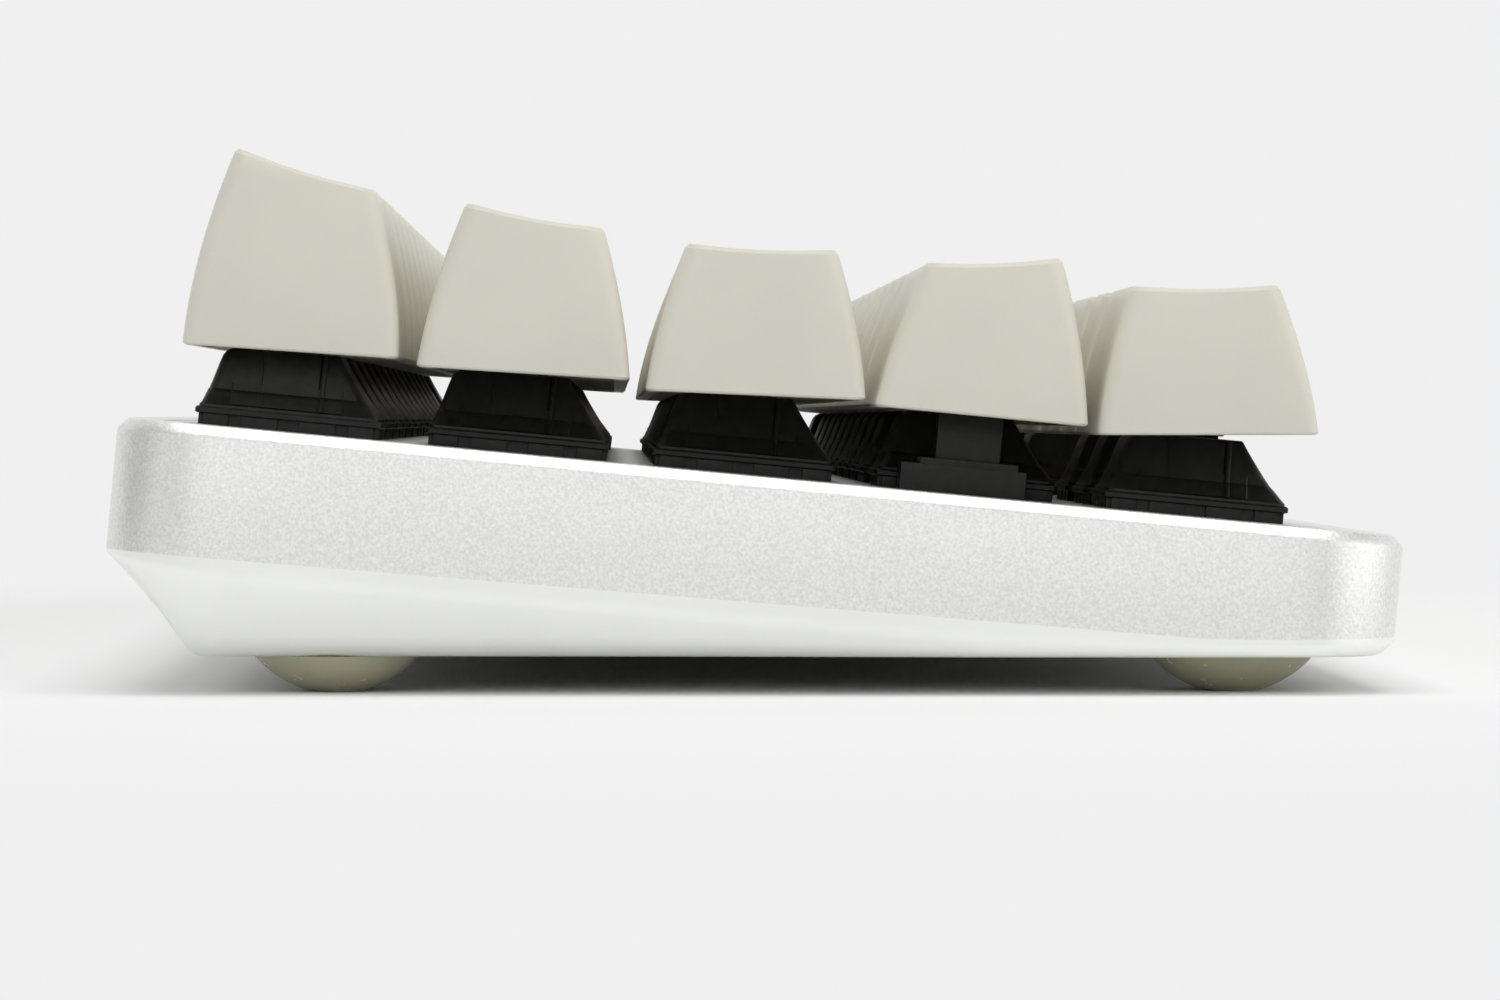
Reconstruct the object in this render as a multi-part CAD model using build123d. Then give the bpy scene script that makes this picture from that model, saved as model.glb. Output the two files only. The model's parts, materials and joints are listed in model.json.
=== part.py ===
from build123d import *
import math
import os
from collections import namedtuple

# Compact mechanical keyboard: five rows of tall blank keycaps that stand clear of a
# sloping case, on plunger switches whose black housings show under the caps.
# Frame: +X along the rows (the user's right), +Y towards the back, +Z up, with the
# origin on the desk under the middle of the case. All sizes in mm and degrees.

# Keys
UNIT = 19.05
TRAVEL = 4.0
ROW_KEYS = {
    1: [1] * 13 + [2],
    2: [1.5] + [1] * 12 + [1.5],
    3: [1.75] + [1] * 11 + [2.25],
    4: [2.25] + [1] * 10 + [2.75],
    5: [1.5, 1, 1.5, 7, 1.5, 1, 1.5],
}
JOINED_WITH_NEXT = {1: (6, 8, 10), 2: (6, 8, 10), 3: (5, 7, 9), 4: (5, 7, 9), 5: ()}
ROW_WIDTH = 15 * UNIT
FIELD_DEPTH = 5 * UNIT
FIELD_Y = 1.55

# Keycaps: one side profile for each row. Insets and heights are those of the top's
# rear and front edges, lean tips the cap back from the plate's normal, and shift is
# how far the cap sits behind its switch.
CapProfile = namedtuple(
    "CapProfile",
    "depth rear_inset rear_height front_inset front_height lean base_z bulge shift",
)
CAP_PROFILES = {
    1: CapProfile(17.9, 3.2, 16.75, 2.8, 13.95, 1.45, 6.64, 0.65, 0.35),
    2: CapProfile(17.7, 3.2, 14.0, 2.9, 12.6, 1.75, 6.63, 0.45, 0.0),
    3: CapProfile(18.3, 2.9, 12.5, 2.8, 12.5, 2.85, 6.61, 0.45, -0.35),
    4: CapProfile(17.8, 3.2, 12.4, 3.3, 13.9, -0.15, 6.63, 0.45, -0.15),
    5: CapProfile(18.4, 2.9, 12.5, 3.0, 12.6, 5.35, 6.85, 0.45, 0.0),
}
CAP_GAP = 1.05
CAP_SIDE_INSET = 2.9
CAP_WALL = 1.3
CAP_ROOF = 1.6
CAP_POST_RADIUS = 2.8
CAP_POST_BOTTOM = 6.9
STABILISER_POST_BOTTOM = 7.2

# Case
CASE_WIDTH = 296.0
CASE_DEPTH = 107.7
TILT = 5.35
DECK_Z = 18.0
CORNER_RADIUS = 9.0
TOP_CHAMFER = 0.95
BAND_REAR = 11.01
BAND_KNEE = 9.87
BAND_KNEE_Y = -38.45
BAND_FRONT = 8.43
SHELL_BOTTOM_Z = 3.1
SHELL_REAR_FLAT_Y = 45.2
SHELL_FRONT_FLAT_Y = -51.6
SHELL_FLOOR = 1.4
SHELL_SHOULDER = 1.2
SHELL_SIDE_RAKE = 0.6
SHELL_RAKE_DEPTH = 12.0
OPENING_MARGIN = 0.6
LEDGE = 1.2

# Plate, board and rear socket
PLATE_THICKNESS = 1.5
PLATE_GAP = 0.1
SWITCH_HOLE = 14.0
BOARD_TOP = -5.0
BOARD_THICKNESS = 1.6
BOARD_MARGIN = 0.3
SOCKET_WIDTH = 8.94
SOCKET_HEIGHT = 3.2
SOCKET_DEPTH = 7.3
SOCKET_WALL = 0.3
PORT_X = UNIT / 2
PORT_WIDTH = 11.0
PORT_TOP = -6.1

# Switches
HOUSING_WIDTH = 13.8
FLANGE_BAND = 14.6
FLANGE_WIDTH = 15.6
FLANGE_BAND_TOP = 0.9
FLANGE_TOP = 1.5
HOUSING_TOP = 6.65
TOP_BASE_WIDTH = 14.4
TOP_HALF_X = 5.4
TOP_FRONT_Y = -4.0
TOP_REAR_Y = 5.4
PLUNGER_TOP = 6.6
CROSS_TOP = 10.1
CROSS_ARM = 4.0
CROSS_THICKNESS = 1.2
CROSS_GAP = 0.05
SPRING_OUTER = 2.1
SPRING_INNER = 1.6
SPRING_BOTTOM = -3.7
SPRING_TOP = 4.6
CONTACT_XS = (-3.2, 2.6)
CONTACT_Y = 4.7

# Stabilisers under keys of two units and wider
STABILISER_OFFSET = 11.938
SPACE_STABILISER_OFFSET = 57.15
STABILISER_HALF_X = 3.3
STABILISER_FRONT_Y = -4.65
STABILISER_REAR_Y = 5.95
STABILISER_STEP_Z = 2.3
STABILISER_TOP_Z = 2.85
STEM_FRONT_Y = -2.4
STEM_REAR_Y = 3.1
STEM_HALF_X = 2.1
STEM_TOP = 7.05
STEM_BOTTOM = -0.8
STEM_GAP = 0.3

# Feet and screws
FOOT_RADIUS = 7.0
FOOT_FLAT_RADIUS = 2.15
FOOT_ARC_MIDDLE = (4.85, 1.16)
FOOT_X = 136.5
FOOT_REAR_Y = 35.0
FOOT_FRONT_Y = -40.0
SCREW_X = 143.9
SCREW_YS = (5.0, -10.0, -25.0)
SCREW_RADIUS = 1.0
SCREW_HEAD_RADIUS = 1.7
SCREW_HEAD_HEIGHT = 1.3
SCREW_SEAT = 1.1
SCREW_BITE = 4.0

SIN = math.sin(math.radians(TILT))
COS = math.cos(math.radians(TILT))
DECK_Y = -(BAND_REAR + TOP_CHAMFER) * SIN / 2
DECK = Location((0, DECK_Y, DECK_Z), (TILT, 0, 0))


def box(x0, x1, y0, y1, z0, z1):
    """A block between two corners."""
    block = Box(x1 - x0, y1 - y0, z1 - z0)
    return Pos((x0 + x1) / 2, (y0 + y1) / 2, (z0 + z1) / 2) * block


def centred_box(width, depth, z0, z1, y=0.0):
    """A block centred on x = 0 and on a given y."""
    return box(-width / 2, width / 2, y - depth / 2, y + depth / 2, z0, z1)


def side_prism(points, half_width):
    """A (y, z) outline run to both sides of x = 0."""
    face = Plane.YZ * Polygon(*points, align=None)
    return extrude(face, amount=half_width, both=True)


def front_prism(points, half_depth):
    """An (x, z) outline run to both sides of y = 0."""
    face = Plane.XZ * Polygon(*points, align=None)
    return extrude(face, amount=half_depth, both=True)


def octagon_post(radius, z0, z1):
    """An upright eight-sided post."""
    return Pos(0, 0, z0) * extrude(RegularPolygon(radius, 8), amount=z1 - z0)


def solids_of(shape):
    """The solids of any shape, as a plain list."""
    return list(shape.solids())


def write(node, shapes):
    """Write one node, with each piece as its own solid."""
    solids = [solid for shape in shapes for solid in solids_of(shape)]
    export_step(Compound(children=solids), os.path.join("parts", node + ".step"))


# ---------------------------------------------------------------- keycaps


def cap_block(profile, width, wall, roof):
    """A cap's outer form, or with a wall and roof its hollow, upright on z = 0."""
    half = profile.depth / 2 - wall
    rear_y = profile.depth / 2 - profile.rear_inset - wall
    front_y = profile.depth / 2 - profile.front_inset - wall
    rear_z = profile.rear_height - roof
    front_z = profile.front_height - roof
    side = side_prism(
        [
            (half, 0),
            ((half + rear_y) / 2 + profile.bulge, rear_z / 2),
            (rear_y, rear_z),
            (-front_y, front_z),
            (-(half + front_y) / 2 - profile.bulge, front_z / 2),
            (-half, 0),
        ],
        width / 2,
    )
    half_x = width / 2 - wall
    top_x = half_x - CAP_SIDE_INSET
    top_z = max(rear_z, front_z)
    front = front_prism(
        [
            (half_x, 0),
            ((half_x + top_x) / 2 + profile.bulge, top_z / 2),
            (top_x, top_z),
            (-top_x, top_z),
            (-(half_x + top_x) / 2 - profile.bulge, top_z / 2),
            (-half_x, 0),
        ],
        profile.depth / 2,
    )
    return side & front


def cross(arm, thickness, z0, z1):
    """The plus-shaped key of a plunger, or with larger sizes its socket."""
    return centred_box(arm, thickness, z0, z1) + centred_box(thickness, arm, z0, z1)


def stabiliser_offsets(units):
    """Where a key's stabiliser stems stand, along x from its centre."""
    if units < 2:
        return ()
    offset = SPACE_STABILISER_OFFSET if units > 6 else STABILISER_OFFSET
    return (-offset, offset)


def keycap(row, units):
    """A hollow cap with an upright socketed post for its plunger and each stem."""
    profile = CAP_PROFILES[row]
    width = units * UNIT - CAP_GAP
    place = Pos(0, profile.shift, profile.base_z) * Rot(-profile.lean, 0, 0)
    outer = place * cap_block(profile, width, 0, 0)
    hollow = cap_block(profile, width, CAP_WALL, CAP_ROOF)
    hollow = place * (hollow + Pos(0, 0, -1) * hollow)
    cap = outer - hollow
    top = profile.base_z + profile.rear_height
    feet = [(0.0, CAP_POST_BOTTOM)]
    feet += [(x, STABILISER_POST_BOTTOM) for x in stabiliser_offsets(units)]
    for x, bottom in feet:
        post = Pos(x, 0, 0) * octagon_post(CAP_POST_RADIUS, bottom, top)
        cap += post & outer
    for x, bottom in feet:
        arm = CROSS_ARM + 2 * CROSS_GAP
        thickness = CROSS_THICKNESS + 2 * CROSS_GAP
        cap -= Pos(x, 0, 0) * cross(arm, thickness, bottom - 1, CROSS_TOP + 0.1)
    return cap


def plunger():
    """A switch's slider: a bored block, a neck and the cross that holds the cap."""
    block = centred_box(7.4, 7.4, 2.0, 5.2) - centred_box(4.8, 4.8, 1.9, 4.8)
    neck = centred_box(7.0, 5.8, 5.2, PLUNGER_TOP)
    return block + neck + cross(CROSS_ARM, CROSS_THICKNESS, PLUNGER_TOP, CROSS_TOP)


def stabiliser_stem():
    """A wide key's side stem, with its own cross."""
    block = box(-STEM_HALF_X, STEM_HALF_X, STEM_FRONT_Y, STEM_REAR_Y, STEM_BOTTOM, STEM_TOP)
    return block + cross(CROSS_ARM, CROSS_THICKNESS, STEM_TOP, CROSS_TOP)


# --------------------------------------------------------------- switches


def bottom_housing():
    """The half that clips in the plate: body, notched band, lip and locating post."""
    body = centred_box(HOUSING_WIDTH, HOUSING_WIDTH, BOARD_TOP, 0)
    body += centred_box(FLANGE_BAND, FLANGE_BAND, 0, FLANGE_BAND_TOP)
    body += centred_box(FLANGE_WIDTH, FLANGE_WIDTH, FLANGE_BAND_TOP, FLANGE_TOP)
    body -= box(-5, 5, -5, 5.4, -3.8, FLANGE_TOP + 1)
    body += octagon_post(1.95, -8.3, BOARD_TOP) + octagon_post(1.3, -3.8, -2.4)
    for x in CONTACT_XS:
        body -= box(x - 0.8, x + 0.8, CONTACT_Y - 0.2, CONTACT_Y + 0.25, BOARD_TOP - 1, -3.7)
    return body


def top_housing():
    """The tapered cover, with its steep back, sloping front and a window on top."""
    half = TOP_BASE_WIDTH / 2
    base = [(-half, FLANGE_TOP), (half, FLANGE_TOP)]
    side = side_prism(base + [(TOP_REAR_Y, HOUSING_TOP), (TOP_FRONT_Y, HOUSING_TOP)], half)
    front = front_prism(base + [(TOP_HALF_X, HOUSING_TOP), (-TOP_HALF_X, HOUSING_TOP)], half)
    cavity = centred_box(8.2, 8.2, FLANGE_TOP - 1, 5.3)
    window = centred_box(7.5, 6.4, 5.2, HOUSING_TOP + 1)
    return (side & front) - cavity - window


def contacts():
    """The two leaf contacts at the back of a switch, with pins through the board."""
    leaves = []
    for x in CONTACT_XS:
        leaf = box(x - 1.3, x + 1.3, CONTACT_Y - 0.1, CONTACT_Y + 0.1, -3.6, 1.0)
        pin = box(x - 0.6, x + 0.6, CONTACT_Y - 0.1, CONTACT_Y + 0.1, -8.0, -3.6)
        leaves.append(leaf + pin)
    return leaves


def return_spring():
    """The space a coil spring fills, from the housing's floor into the plunger's bore."""
    outside = octagon_post(SPRING_OUTER, SPRING_BOTTOM, SPRING_TOP)
    return outside - octagon_post(SPRING_INNER, SPRING_BOTTOM - 1, SPRING_TOP + 1)


def stabiliser_housing():
    """A guide for one side stem, clipped in the plate."""
    half = STABILISER_HALF_X
    body = box(-half, half, STABILISER_FRONT_Y, STABILISER_REAR_Y, BOARD_TOP, STABILISER_STEP_Z)
    body += box(-half, half, -3.9, 4.4, STABILISER_STEP_Z, STABILISER_TOP_Z)
    body -= box(
        -STEM_HALF_X - STEM_GAP,
        STEM_HALF_X + STEM_GAP,
        STEM_FRONT_Y - STEM_GAP,
        STEM_REAR_Y + STEM_GAP,
        BOARD_TOP - 1,
        STABILISER_TOP_Z + 1,
    )
    return body


# ------------------------------------------------------------------- case


def rounded_block(width, depth, radius, z0, z1, y=0.0):
    """A block with rounded upright corners."""
    return Pos(0, y, z0) * extrude(RectangleRounded(width, depth, radius), amount=z1 - z0)


def deck_point(y, z):
    """A point given along the deck, as (y, z) above the desk."""
    return (DECK_Y + y * COS - z * SIN, DECK_Z + y * SIN + z * COS)


REAR_LINE = deck_point(CASE_DEPTH / 2, -BAND_REAR)
KNEE_LINE = deck_point(BAND_KNEE_Y, -BAND_KNEE)
FRONT_LINE = deck_point(-CASE_DEPTH / 2, -BAND_FRONT)
JOINT_SLOPE = (REAR_LINE[1] - KNEE_LINE[1]) / (REAR_LINE[0] - KNEE_LINE[0])


def band_bottom_z(y):
    """Height above the desk of the joint line between band and shell, at a desk y."""
    return KNEE_LINE[1] + JOINT_SLOPE * (y - KNEE_LINE[0])


def above_joint_line():
    """Everything above the line where the band meets the shell."""
    beyond = 5.0
    front_slope = (KNEE_LINE[1] - FRONT_LINE[1]) / (KNEE_LINE[0] - FRONT_LINE[0])
    front = (FRONT_LINE[0] - beyond, FRONT_LINE[1] - front_slope * beyond)
    rear = (REAR_LINE[0] + beyond, REAR_LINE[1] + JOINT_SLOPE * beyond)
    top = DECK_Z + CASE_DEPTH
    return side_prism([front, KNEE_LINE, rear, (rear[0], top), (front[0], top)], CASE_WIDTH)


def upper_frame():
    """The sloping metal band, with a chamfered rim, a plate ledge and a rear port."""
    band = rounded_block(CASE_WIDTH, CASE_DEPTH, CORNER_RADIUS, -15, 0)
    band = chamfer(band.faces().sort_by(Axis.Z)[-1].edges(), TOP_CHAMFER)
    seat_x = ROW_WIDTH + 2 * OPENING_MARGIN
    seat_y = FIELD_DEPTH + 2 * OPENING_MARGIN
    band -= rounded_block(seat_x, seat_y, 1.0, -PLATE_THICKNESS, 1, FIELD_Y)
    band -= rounded_block(seat_x - 2 * LEDGE, seat_y - 2 * LEDGE, 1.0, -20, 1, FIELD_Y)
    band -= Pos(PORT_X, 0, 0) * centred_box(PORT_WIDTH, 20, -20, PORT_TOP, CASE_DEPTH / 2)
    band = (DECK * band) & above_joint_line()
    for x, y, seat in screw_places():
        band -= Pos(x, y, seat) * Cylinder(SCREW_RADIUS + 0.02, 2 * (SCREW_BITE + SCREW_SEAT + 0.5))
    return band


def raked_sides():
    """Keeps what lies between the shell's side faces, which lean in below a shoulder."""
    half = CASE_WIDTH / 2
    low_x = half - SHELL_RAKE_DEPTH * SHELL_SIDE_RAKE
    low_z = -SHELL_SHOULDER - SHELL_RAKE_DEPTH
    outline = [(half, 5), (half, -SHELL_SHOULDER), (low_x, low_z)]
    outline += [(-x, z) for x, z in reversed(outline)]
    line = Pos(0, *KNEE_LINE) * Rot(math.degrees(math.atan(JOINT_SLOPE)), 0, 0)
    return line * front_prism(outline, CASE_DEPTH)


def bottom_shell():
    """The lower tray: flat underneath, with a raked back and raked sides."""
    front_toe = (FRONT_LINE[0] + 0.3, FRONT_LINE[1] - 0.4)
    flat_rear = (SHELL_REAR_FLAT_Y, SHELL_BOTTOM_Z)
    flat_front = (SHELL_FRONT_FLAT_Y, SHELL_BOTTOM_Z)
    outline = [REAR_LINE, flat_rear, flat_front, front_toe, FRONT_LINE, KNEE_LINE]
    shell = side_prism(outline, CASE_WIDTH / 2) & raked_sides()
    shell &= DECK * rounded_block(CASE_WIDTH, CASE_DEPTH, CORNER_RADIUS, -25, 0)
    edge = FIELD_DEPTH / 2 + OPENING_MARGIN - LEDGE
    inner_rear = deck_point(FIELD_Y + edge, -BAND_REAR)[0]
    inner_front = deck_point(FIELD_Y - edge, -BAND_FRONT)[0]
    inner_x = ROW_WIDTH / 2 + OPENING_MARGIN - LEDGE
    floor = SHELL_BOTTOM_Z + SHELL_FLOOR
    top = REAR_LINE[1] + 5
    hollow = [(inner_front, floor), (SHELL_REAR_FLAT_Y - 2, floor), (inner_rear, REAR_LINE[1] - 1.5)]
    shell -= side_prism(hollow + [(inner_rear, top), (inner_front, top)], inner_x)
    for x, y, seat in screw_places():
        shell -= Pos(x, y, seat) * Cylinder(SCREW_RADIUS + 0.1, 40)
        shell -= Pos(x, y, seat - 10) * Cylinder(SCREW_HEAD_RADIUS + 0.15, 20)
    return shell


def switch_plate(keys):
    """The steel plate, square-holed for switches and slotted for stabilisers."""
    width = ROW_WIDTH + 2 * (OPENING_MARGIN - PLATE_GAP)
    depth = FIELD_DEPTH + 2 * (OPENING_MARGIN - PLATE_GAP)
    outline = Pos(0, FIELD_Y) * RectangleRounded(width, depth, 1.0)
    for x, y, units, row in keys:
        outline -= Pos(x, y) * Rectangle(SWITCH_HOLE, SWITCH_HOLE)
        for offset in stabiliser_offsets(units):
            slot = Rectangle(2 * STABILISER_HALF_X + 0.2, STABILISER_REAR_Y - STABILISER_FRONT_Y + 0.2)
            outline -= Pos(x + offset, y + (STABILISER_REAR_Y + STABILISER_FRONT_Y) / 2) * slot
    return Pos(0, 0, -PLATE_THICKNESS) * extrude(outline, amount=PLATE_THICKNESS)


def circuit_board(keys):
    """The board, holed for each switch's post and contact pins."""
    width = ROW_WIDTH + 2 * (OPENING_MARGIN - LEDGE - BOARD_MARGIN)
    depth = FIELD_DEPTH + 2 * (OPENING_MARGIN - LEDGE - BOARD_MARGIN)
    outline = Pos(0, FIELD_Y) * Rectangle(width, depth)
    for x, y, units, row in keys:
        outline -= Pos(x, y) * RegularPolygon(2.2, 8)
        for pin_x in CONTACT_XS:
            outline -= Pos(x + pin_x, y + CONTACT_Y) * Rectangle(1.6, 0.6)
    bottom = BOARD_TOP - BOARD_THICKNESS
    return Pos(0, 0, bottom) * extrude(outline, amount=BOARD_THICKNESS)


def usb_socket():
    """A metal sleeve with its tongue, under the board behind the rear port."""
    rear = FIELD_Y + FIELD_DEPTH / 2 + OPENING_MARGIN - LEDGE - 0.2
    front = rear - SOCKET_DEPTH
    top = BOARD_TOP - BOARD_THICKNESS
    half = SOCKET_WIDTH / 2
    sleeve = box(-half, half, front, rear, top - SOCKET_HEIGHT, top)
    sleeve -= box(
        -half + SOCKET_WALL,
        half - SOCKET_WALL,
        front + 1,
        rear + 1,
        top - SOCKET_HEIGHT + SOCKET_WALL,
        top - SOCKET_WALL,
    )
    tongue = box(-3.3, 3.3, front + 0.9, rear - 1, top - 1.95, top - 1.25)
    return Pos(PORT_X, 0, 0) * (sleeve + tongue)


def screw_places():
    """Each case screw's x and y, and the height of the seat under its head."""
    return [(side * SCREW_X, y, band_bottom_z(y) - SCREW_SEAT) for side in (-1, 1) for y in SCREW_YS]


def case_screws():
    """Identical pan-head screws that join shell and band from below."""
    screws = []
    for x, y, seat in screw_places():
        head = Pos(x, y, seat - SCREW_HEAD_HEIGHT / 2) * Cylinder(SCREW_HEAD_RADIUS, SCREW_HEAD_HEIGHT)
        head -= Pos(x, y, seat - SCREW_HEAD_HEIGHT) * Box(0.5, 2.2, 1.2)
        length = SCREW_SEAT + SCREW_BITE
        screws.append(head + Pos(x, y, seat + length / 2) * Cylinder(SCREW_RADIUS, length))
    return screws


def rubber_foot():
    """A squat dome with a small flat where it meets the desk."""
    axis_bottom, rim_top = (0, 0), (FOOT_RADIUS, SHELL_BOTTOM_Z)
    flat_edge, axis_top = (FOOT_FLAT_RADIUS, 0), (0, SHELL_BOTTOM_Z)
    profile = Line(axis_bottom, flat_edge) + ThreePointArc(flat_edge, FOOT_ARC_MIDDLE, rim_top)
    profile += Line(rim_top, axis_top) + Line(axis_top, axis_bottom)
    return revolve(Plane.XZ * make_face(profile), Axis.Z)


# --------------------------------------------------------------- assembly


def key_list():
    """Every key as (x, y, units, row), in deck coordinates."""
    keys = []
    for row, widths in ROW_KEYS.items():
        x = -ROW_WIDTH / 2
        y = FIELD_Y + (3 - row) * UNIT
        for units in widths:
            x += units * UNIT / 2
            keys.append((x, y, units, row))
            x += units * UNIT / 2
    return keys


def key_groups():
    """Node names with the keys in them: mostly one, and a pair where two are joined."""
    groups = {}
    keys = key_list()
    for row, widths in ROW_KEYS.items():
        row_keys = [key for key in keys if key[3] == row]
        number = 1
        while number <= len(widths):
            if number in JOINED_WITH_NEXT[row]:
                name = f"key_r{row}_{number:02d}_{number + 1:02d}"
                groups[name] = row_keys[number - 1:number + 1]
                number += 2
            else:
                groups[f"key_r{row}_{number:02d}"] = row_keys[number - 1:number]
                number += 1
    return groups


def main():
    os.makedirs("parts", exist_ok=True)
    keys = key_list()
    places = [DECK * Pos(x, y, 0) for x, y, units, row in keys]

    write("upper_frame", [upper_frame()])
    write("bottom_shell", [bottom_shell()])
    write("switch_plate", [DECK * switch_plate(keys)])
    write("circuit_board", [DECK * circuit_board(keys)])
    write("usb_socket", [DECK * usb_socket()])
    write("case_screws", case_screws())
    foot = rubber_foot()
    foot_places = [(side * FOOT_X, y, 0) for side in (-1, 1) for y in (FOOT_REAR_Y, FOOT_FRONT_Y)]
    write("rubber_feet", [Pos(*place) * foot for place in foot_places])

    repeated = {
        "switch_bottom_housings": bottom_housing(),
        "switch_top_housings": top_housing(),
        "switch_springs": return_spring(),
    }
    for node, piece in repeated.items():
        write(node, [place * piece for place in places])
    write("switch_contacts", [place * leaf for place in places for leaf in contacts()])
    guide = stabiliser_housing()
    guides = []
    for x, y, units, row in keys:
        guides += [DECK * Pos(x + offset, y, 0) * guide for offset in stabiliser_offsets(units)]
    write("stabiliser_housings", guides)

    caps = {}
    slider = plunger()
    stem = stabiliser_stem()
    for node, group in key_groups().items():
        pieces = []
        for x, y, units, row in group:
            if (row, units) not in caps:
                caps[row, units] = keycap(row, units)
            place = DECK * Pos(x, y, 0)
            pieces += [place * caps[row, units], place * slider]
            pieces += [place * Pos(offset, 0, 0) * stem for offset in stabiliser_offsets(units)]
        write(node, pieces)


main()
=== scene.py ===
import json
import math
import random

import bmesh
import bpy
from mathutils import Matrix, Vector

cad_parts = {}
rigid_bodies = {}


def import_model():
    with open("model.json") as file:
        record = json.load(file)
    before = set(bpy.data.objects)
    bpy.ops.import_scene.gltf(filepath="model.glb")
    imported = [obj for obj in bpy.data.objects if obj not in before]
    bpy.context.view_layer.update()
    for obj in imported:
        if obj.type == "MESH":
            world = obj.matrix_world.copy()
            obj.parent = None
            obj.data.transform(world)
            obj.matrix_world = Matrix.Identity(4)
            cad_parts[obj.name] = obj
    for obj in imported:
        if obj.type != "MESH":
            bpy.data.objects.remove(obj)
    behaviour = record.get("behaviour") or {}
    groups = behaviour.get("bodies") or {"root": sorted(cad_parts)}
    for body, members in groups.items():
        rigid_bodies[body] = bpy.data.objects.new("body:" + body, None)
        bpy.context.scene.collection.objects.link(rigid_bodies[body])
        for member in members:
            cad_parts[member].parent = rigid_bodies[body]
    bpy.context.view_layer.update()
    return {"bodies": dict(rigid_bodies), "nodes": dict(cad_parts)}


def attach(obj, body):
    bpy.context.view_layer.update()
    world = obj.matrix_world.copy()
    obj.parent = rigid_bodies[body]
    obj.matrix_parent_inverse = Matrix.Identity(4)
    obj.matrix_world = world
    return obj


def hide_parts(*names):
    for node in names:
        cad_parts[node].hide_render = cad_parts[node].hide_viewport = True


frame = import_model()

# A compact mechanical keyboard with tall blank caps, seen from its left end.
# Lengths below are in millimetres and become metres through MM.
MM = 0.001

# Layout
UNIT = 19.05
ROW_KEYS = {
    1: [1] * 13 + [2],
    2: [1.5] + [1] * 12 + [1.5],
    3: [1.75] + [1] * 11 + [2.25],
    4: [2.25] + [1] * 10 + [2.75],
    5: [1.5, 1, 1.5, 7, 1.5, 1, 1.5],
}
ROW_WIDTH = 15 * UNIT
FIELD_DEPTH = 5 * UNIT
FIELD_Y = 1.55

# Case
CASE_WIDTH = 296.0
CASE_DEPTH = 107.7
TILT = math.radians(5.35)
DECK_Z = 18.0
CORNER_RADIUS = 9.0
TOP_CHAMFER = 0.95
BAND_EDGE = 0.12
BAND_REAR = 11.01
BAND_KNEE = 9.87
BAND_KNEE_Y = -38.45
BAND_FRONT = 8.43
SHELL_BOTTOM_Z = 3.1
SHELL_SHOULDER = 1.2
SHELL_EASE = 2.6
SHELL_FLOOR = 1.4
SIDE_RAKE = 0.6
REAR_RAKE = 1.02
OPENING_MARGIN = 0.6
LEDGE = 1.2
PLATE_THICKNESS = 1.5
PORT_X = UNIT / 2
PORT_WIDTH = 11.0
PORT_TOP = -6.1
PORT_HEIGHT = 4.7
PORT_REACH = (48.9, 60.0)
PORT_RADIUS = 2.0
DECK_Y = -(BAND_REAR + TOP_CHAMFER) * math.sin(TILT) / 2
DECK = Matrix.Translation((0, DECK_Y, DECK_Z)) @ Matrix.Rotation(TILT, 4, "X")

# Keycaps, one profile for each row: depth at the foot, then the inset and height
# of the top's rear and front edges, the lean back, the foot's height, the bulge and
# how far the cap sits behind its switch.
CAP_PROFILES = {
    1: (17.9, 3.2, 16.75, 2.8, 13.95, 1.45, 6.64, 0.65, 0.35),
    2: (17.7, 3.2, 14.0, 2.9, 12.6, 1.75, 6.63, 0.45, 0.0),
    3: (18.3, 2.9, 12.5, 2.8, 12.5, 2.85, 6.61, 0.45, -0.35),
    4: (17.8, 3.2, 12.4, 3.3, 13.9, -0.15, 6.63, 0.45, -0.15),
    5: (18.4, 2.9, 12.5, 3.0, 12.6, 5.35, 6.85, 0.45, 0.0),
}
CAP_GAP = 1.05
CAP_SIDE_INSET = 2.9
CAP_FOOT_RADIUS = 1.0
CAP_TOP_RADIUS = 1.6
CAP_EDGE = 0.4
CAP_DISH = 0.8
CAP_WALL = 1.3
CAP_ROOF = 1.6
CAP_POST_BOTTOM = 6.9
STABILISER_POST_BOTTOM = 7.2
CAP_POST_RADIUS = 2.7

# Switches and stabilisers
STABILISER_OFFSET = 11.938
SPACE_STABILISER_OFFSET = 57.15
# Raised panels on a cover's sides: front and rear y, how proud, and the top.
TOP_PANELS = ((-2.3, 2.6, 0.16, 6.6), (-2.75, -2.35, 0.45, 6.6), (-4.3, 5.0, 0.14, 5.0))
# Teeth round the lower housing's band: where each one starts and ends.
BAND_TEETH = ((-7.1, -5.0), (-3.9, -0.9), (0.9, 3.9), (5.0, 7.1))

# Feet
FOOT_RADIUS = 7.0
FOOT_FLAT = 2.15
FOOT_X = 136.5
FOOT_YS = (35.0, -40.0)

# Studio: the backdrop's brightness, and where the lit floor fades into it
BACKDROP = 0.871
FADE_START = 0.085
FADE_END = 0.17
FADE_STRETCH = (0.55, 1.0, 1.0)

# Camera, in metres: how far off the left side it stands, then y and z of its eye
# and of the point it looks at
CAMERA_DISTANCE = 0.545
CAMERA_EYE = (0.01175, 0.0228)
CAMERA_TARGET = (0.00065, 0.0161)
CAMERA_LENS = 159.4

# Mesh fineness, and the angle past which an edge stays sharp
CORNER_STEPS = 6
SIDE_STEPS = 3
SHARP_ANGLE = math.radians(32)
PORT_SHARP_ANGLE = math.radians(28)


# ------------------------------------------------------------ mesh helpers


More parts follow.
